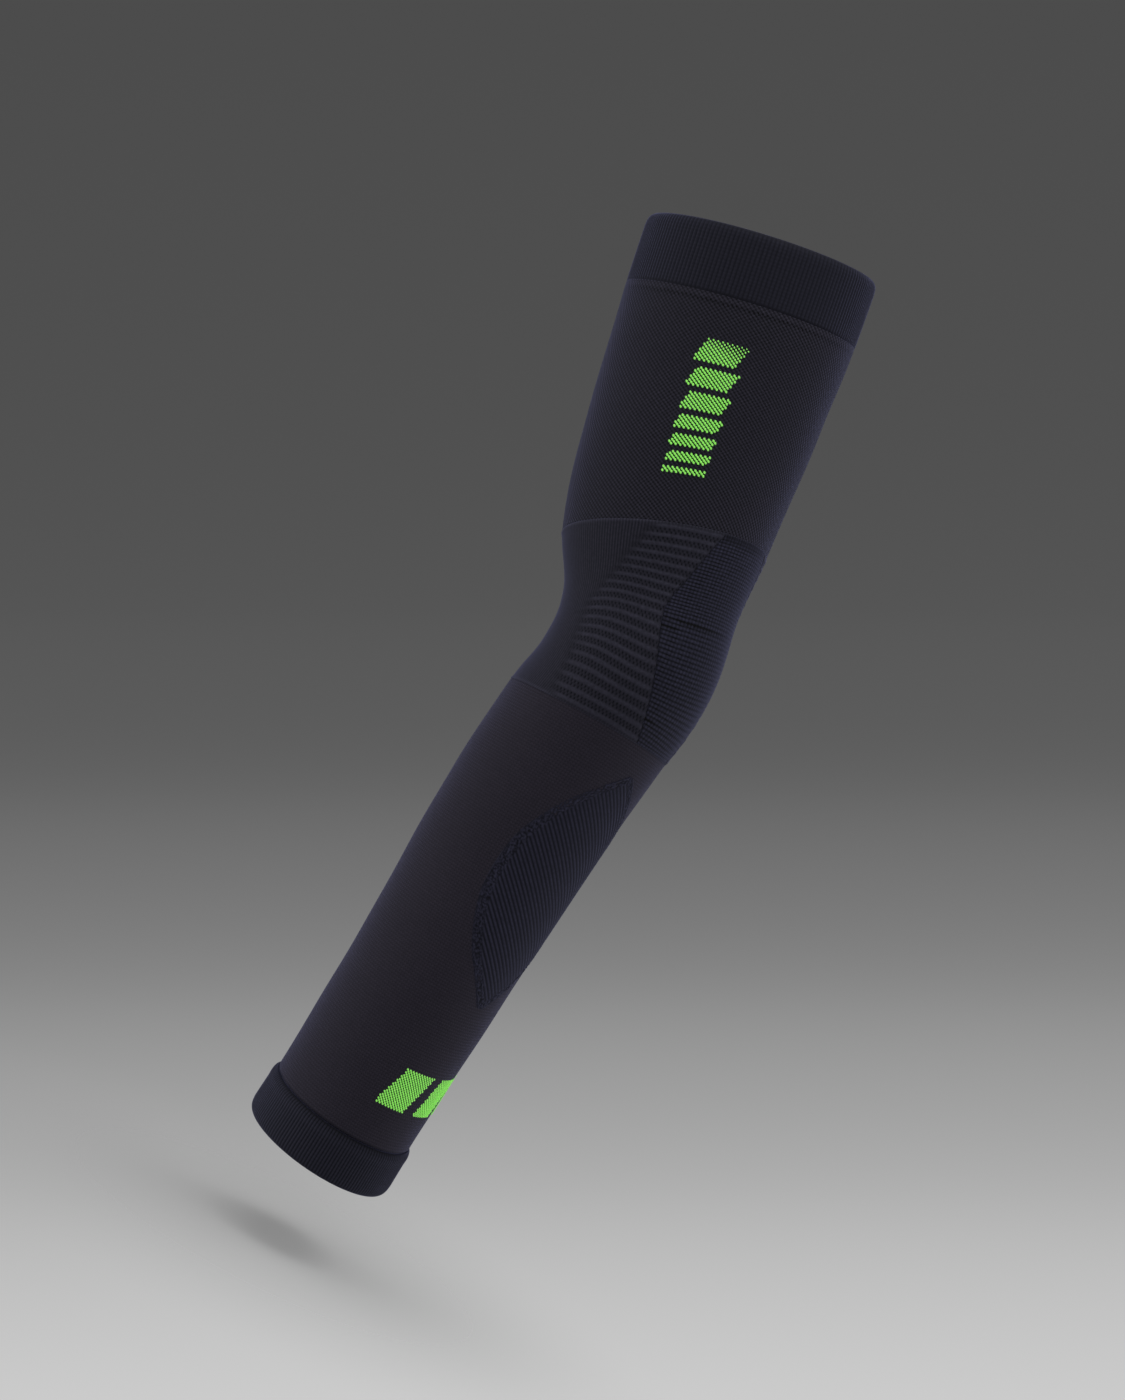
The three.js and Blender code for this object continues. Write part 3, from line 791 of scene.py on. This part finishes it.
makeElbow()
makePad()
print("elbow made")


# The support panel: a pointed oval with a speckled border and lengthwise ribs inside it
panelLook = {
    "start": 12, "length": 112, "width": 56, "border": 4.0, "columns": 160, "rowStep": 0.46,
    "lift": 0.1, "under": 0.03, "borderDrop": 0.6, "borderEnd": 0.95, "borderSharpness": 4,
    "edgeSharpness": 5, "borderTone": -0.05,
    "ribs": 88, "slant": 0.44, "speckScale": 1400, "depth": 0.4,
}
panelOutline = {  # down: share of the length; wide: share of the width
    "down": [0, 0.08, 0.2, 0.36, 0.5, 0.64, 0.8, 0.92, 1],
    "wide": [0.06, 0.36, 0.7, 0.95, 1, 0.93, 0.66, 0.32, 0.06],
}


def makePanel():
    look = panelLook
    start = elbowBottom + look["start"]
    rows = np.linspace(start, start + look["length"], round(look["length"] / look["rowStep"]))

    def halfAngle(along):
        wide = readTable(panelOutline, "wide", (along - start) / look["length"])
        return wide * look["width"] / 2 / halfWidths(along)[2]

    def shape(along, angle):
        # how far inside the outline, across the arm, as a share of the border
        inside = (halfAngle(along) - np.abs(angle)) * halfWidths(along)[2] / look["border"]
        border = 1 - smoothStep((inside - look["borderEnd"]) * look["borderSharpness"])
        return {"out": look["lift"] * (1 - look["borderDrop"] * border),
                "relief": smoothStep(inside * look["edgeSharpness"]), "border": border,
                "tone": look["borderTone"] * border}

    piece = overlay("forearm_panel_skin", rows, 0.0, halfAngle(rows), look["columns"], look["under"],
                    shape)
    applyTree(piece, trees["panel"], {"Ribs": look["ribs"], "Slant": look["slant"],
                                      "Speck scale": look["speckScale"],
                                      "Depth": look["depth"] * millimetre, "Material": waffle})
    dress(piece, ["forearm_panel"])


makePanel()
print("panel made")


# The stitched marks: stitches of one staggered lattice that fall inside each bar or block. A bead is
# one stitch, with its length, width and height.
armMarks = {
    "start": 45, "angle": -49, "reach": 0.3, "width": 16, "first": 9, "last": 2.4, "count": 7,
    "gap": 2.6, "slant": 3, "pitch": 1.76, "row": 0.8, "turned": 43, "bead": (1.26, 0.92, 0.6),
    "lift": 0.1,
}
wristMarks = {
    "aboveCuff": 18, "height": 17, "angle": -36, "around": 230, "first": 13, "last": 3, "count": 8,
    "gap": 5, "slant": 5, "pitch": 1.3, "row": 0.7, "turned": 41, "bead": (1.04, 0.82, 0.55),
    "lift": 0.1,
}


def stitch(name, along, angle, look):
    # points on the knit, with the turn of a bead that lies in the surface
    points = surface(along, angle, look["lift"])
    upward = surface(along - 0.1, angle, look["lift"]) - points
    angles = []
    for normal, up in zip(outwardOf(along, angle), upward):
        z = Vector(normal)
        y = Vector(up) - Vector(up).dot(z) * z
        y.normalize()
        basis = Matrix((y.cross(z), y, z)).transposed()
        turned = basis @ Matrix.Rotation(math.radians(look["turned"]), 3, "Z")
        angles.append(list(turned.to_euler()))
    piece = makePiece(name, points, [], values={"turned": np.array(angles)})
    length, width, height = (size * millimetre for size in look["bead"])
    applyTree(piece, trees["stitches"], {"Length": length, "Width": width, "Height": height,
                                         "Material": yarn})
    return piece


def lattice(look, top, bottom, fromAngle, toAngle):
    # staggered stitch places: the pitch is held at the middle of the stretch
    step = look["pitch"] / halfWidths(np.array((top + bottom) / 2))[2]
    row, column = np.meshgrid(np.arange(int((bottom - top) / look["row"]) + 1),
                              np.arange(math.ceil(fromAngle / step), math.floor(toAngle / step) + 1),
                              indexing="ij")
    return top + row.ravel() * look["row"], (column + 0.5 * (row % 2)).ravel() * step


def makeArmMarks():
    look = armMarks
    tops, heights = [], []
    place = look["start"]
    for i in range(look["count"]):
        tops.append(place)
        heights.append(look["first"] + (look["last"] - look["first"]) * i / (look["count"] - 1))
        place += heights[-1] + look["gap"]
    centre = math.radians(look["angle"])
    along, angle = lattice(look, look["start"], place, centre - look["reach"], centre + look["reach"])
    keep = np.zeros(len(along), bool)
    for top, height in zip(tops, heights):
        radius = halfWidths(np.array(float(top)))[2]
        middle = centre - look["slant"] * (along - top) / look["first"] / radius
        aside = np.abs(angle - middle) <= look["width"] / 2 / radius
        keep |= (along >= top) & (along <= top + height) & aside
    piece = stitch("arm_mark_stitches", along[keep], angle[keep], look)
    dress(piece, [f"arm_mark_{i + 1}" for i in range(look["count"])])


def makeWristMarks():
    look = wristMarks
    bottom = wristCuffTop - look["aboveCuff"]
    top = bottom - look["height"]
    radius = halfWidths(np.array(float(bottom)))[2]
    start = math.radians(look["angle"])
    along, angle = lattice(look, top, bottom, start, start + math.radians(look["around"]))
    slant = look["slant"] * (bottom - along) / look["height"] / radius
    keep = np.zeros(len(along), bool)
    for i in range(look["count"]):
        width = look["first"] + (look["last"] - look["first"]) * i / (look["count"] - 1)
        fromStart = angle - slant - start
        keep |= (fromStart >= 0) & (fromStart <= width / radius)
        start += (width + look["gap"]) / radius
    piece = stitch("wrist_mark_stitches", along[keep], angle[keep], look)
    dress(piece, [f"wrist_mark_{i + 1}" for i in range(look["count"])])


makeArmMarks()
makeWristMarks()
print("marks stitched")


# Camera, floor and light. The view is in degrees and millimetres.
view = {"azimuth": 43, "elevation": 6.5, "roll": -26.4, "distance": 1800, "aim": (10.9, 0, -190.6),
        "lens": 118.7, "sensor": 36}


def makeCamera():
    azimuth, elevation, roll = (math.radians(view[k]) for k in ("azimuth", "elevation", "roll"))
    back = Vector((math.sin(azimuth) * math.cos(elevation), -math.cos(azimuth) * math.cos(elevation),
                   math.sin(elevation)))
    right = Vector((math.cos(azimuth), math.sin(azimuth), 0))
    up = back.cross(right)
    across = math.cos(roll) * right - math.sin(roll) * up
    upright = math.sin(roll) * right + math.cos(roll) * up
    camera = bpy.data.objects.new("camera", bpy.data.cameras.new("camera"))
    camera.data.lens = view["lens"]
    camera.data.sensor_width = view["sensor"]
    place = (Vector(view["aim"]) + back * view["distance"]) * millimetre
    camera.matrix_world = Matrix.Translation(place) @ Matrix((across, upright, back)).transposed().to_4x4()
    bpy.context.collection.objects.link(camera)
    bpy.context.scene.camera = camera
    return right, back, upright


floorLook = {
    "height": -434, "radius": 0.62, "corners": 96,  # millimetres up, and metres out
    "colour": "#d8d8d8", "roughness": 0.9, "specular": 0.1,
    "clear": 0.38, "fadeTo": 0.18,                  # the middle's clear share, and metres to all clear
}


def floorMaterial():
    # matt painted board, fading out to the plain surround away from the sleeve
    look = floorLook
    material = bpy.data.materials.new("matt painted board")
    material.use_nodes = True
    tree = material.node_tree
    tree.nodes.clear()
    board = addNode(tree, "ShaderNodeBsdfPrincipled", {
        "Base Color": hexColour(look["colour"]), "Roughness": look["roughness"],
        "Specular IOR Level": look["specular"]})
    clear = addNode(tree, "ShaderNodeBsdfTransparent", {})
    place = addNode(tree, "ShaderNodeTexCoord", {})
    flat = addNode(tree, "ShaderNodeVectorMath", {"operation": "MULTIPLY", 0: place.outputs["Object"],
                                                  1: (1.0, 1.0, 0.0)})
    far = addNode(tree, "ShaderNodeVectorMath", {"operation": "LENGTH", 0: flat.outputs["Vector"]})
    fade = mapRange(tree, far.outputs["Value"], (0, look["fadeTo"]), (look["clear"], 1), True)
    mixed = addNode(tree, "ShaderNodeMixShader", {"Fac": fade, 1: board.outputs[0], 2: clear.outputs[0]})
    addNode(tree, "ShaderNodeOutputMaterial", {"Surface": mixed.outputs[0]})
    return material


def makeFloor():
    look = floorLook
    angle = np.arange(look["corners"]) / look["corners"] * turn
    height = np.full(len(angle), look["height"] * millimetre)
    points = np.stack([np.cos(angle) * look["radius"], np.sin(angle) * look["radius"], height], -1)
    floor = makePiece("floor", points, [list(range(len(angle)))])
    floor.data.materials.append(floorMaterial())


# Softboxes: metres to the right of the view, towards the camera and above the arm's middle, then the
# size across and along, and watts. Along is upwards, or away from the camera on the overhead one.
lights = {
    "top": {"right": 0.0, "back": 0.05, "up": 1.6, "size": (2.0, 1.1), "power": 18, "overhead": True},
    "leftStrip": {"right": -1.0, "back": -0.1, "up": -0.25, "size": (0.7, 0.7), "power": 3.3,
                  "overhead": False},
    "rightStrip": {"right": 0.9, "back": -0.2, "up": -0.6, "size": (0.6, 0.6), "power": 2.7,
                   "overhead": False},
    "front": {"right": -0.1, "back": 1.7, "up": 0.45, "size": (1.2, 1.2), "power": 8.5, "overhead": False},
}
backdrop = {  # how far above the view's middle, as the direction's share of the upright, and its tone
    "from": -0.5, "to": 0.5,
    "height": [-0.45, -0.2, -0.15, -0.108, -0.065, -0.022, 0.02, 0.14],
    "tone": ["#6a6a6a", "#c8c8c8", "#cbcbcb", "#b2b2b2", "#8c8c8c", "#676767", "#555555", "#4c4c4c"],
}


def makeSurround(upright):
    # a plain studio paper that goes from dark above to pale below
    surround = bpy.data.worlds.new("surround")
    surround.use_nodes = True
    tree = surround.node_tree
    tree.nodes.clear()
    direction = addNode(tree, "ShaderNodeTexCoord", {})
    height = addNode(tree, "ShaderNodeVectorMath", {
        "operation": "DOT_PRODUCT", 0: direction.outputs["Generated"], 1: tuple(upright)})
    share = mapRange(tree, height.outputs["Value"], (backdrop["from"], backdrop["to"]), (0, 1))
    ramp = addNode(tree, "ShaderNodeValToRGB", {"Fac": share})
    stops = ramp.color_ramp.elements
    ramp.color_ramp.interpolation = "CARDINAL"
    for place, tone in zip(backdrop["height"][1:-1], backdrop["tone"][1:-1]):
        stops.new(place - backdrop["from"]).color = hexColour(tone)
    for stop, end in ((stops[0], 0), (stops[-1], -1)):
        stop.position = backdrop["height"][end] - backdrop["from"]
        stop.color = hexColour(backdrop["tone"][end])
    light = addNode(tree, "ShaderNodeBackground", {"Color": ramp.outputs["Color"], "Strength": 1.0})
    addNode(tree, "ShaderNodeOutputWorld", {"Surface": light.outputs["Background"]})
    bpy.context.scene.world = surround


def makeLights(right, back):
    middle = Vector(view["aim"]) * millimetre
    level = Vector((back.x, back.y, 0)).normalized()
    for name, light in lights.items():
        lamp = bpy.data.lights.new(name, "AREA")
        lamp.shape = "RECTANGLE"
        lamp.size, lamp.size_y = light["size"]
        lamp.energy = light["power"]
        place = bpy.data.objects.new(name, lamp)
        offset = right * light["right"] + level * light["back"] + Vector((0, 0, light["up"]))
        z = offset.normalized()
        upward = -level if light["overhead"] else Vector((0, 0, 1))
        y = (upward - upward.dot(z) * z).normalized()
        turned = Matrix((y.cross(z), y, z)).transposed().to_4x4()
        place.matrix_world = Matrix.Translation(middle + offset) @ turned
        bpy.context.collection.objects.link(place)
    bpy.context.scene.view_settings.view_transform = "Standard"


right, back, upright = makeCamera()
makeFloor()
makeSurround(upright)
makeLights(right, back)
print("camera, floor and lights placed")
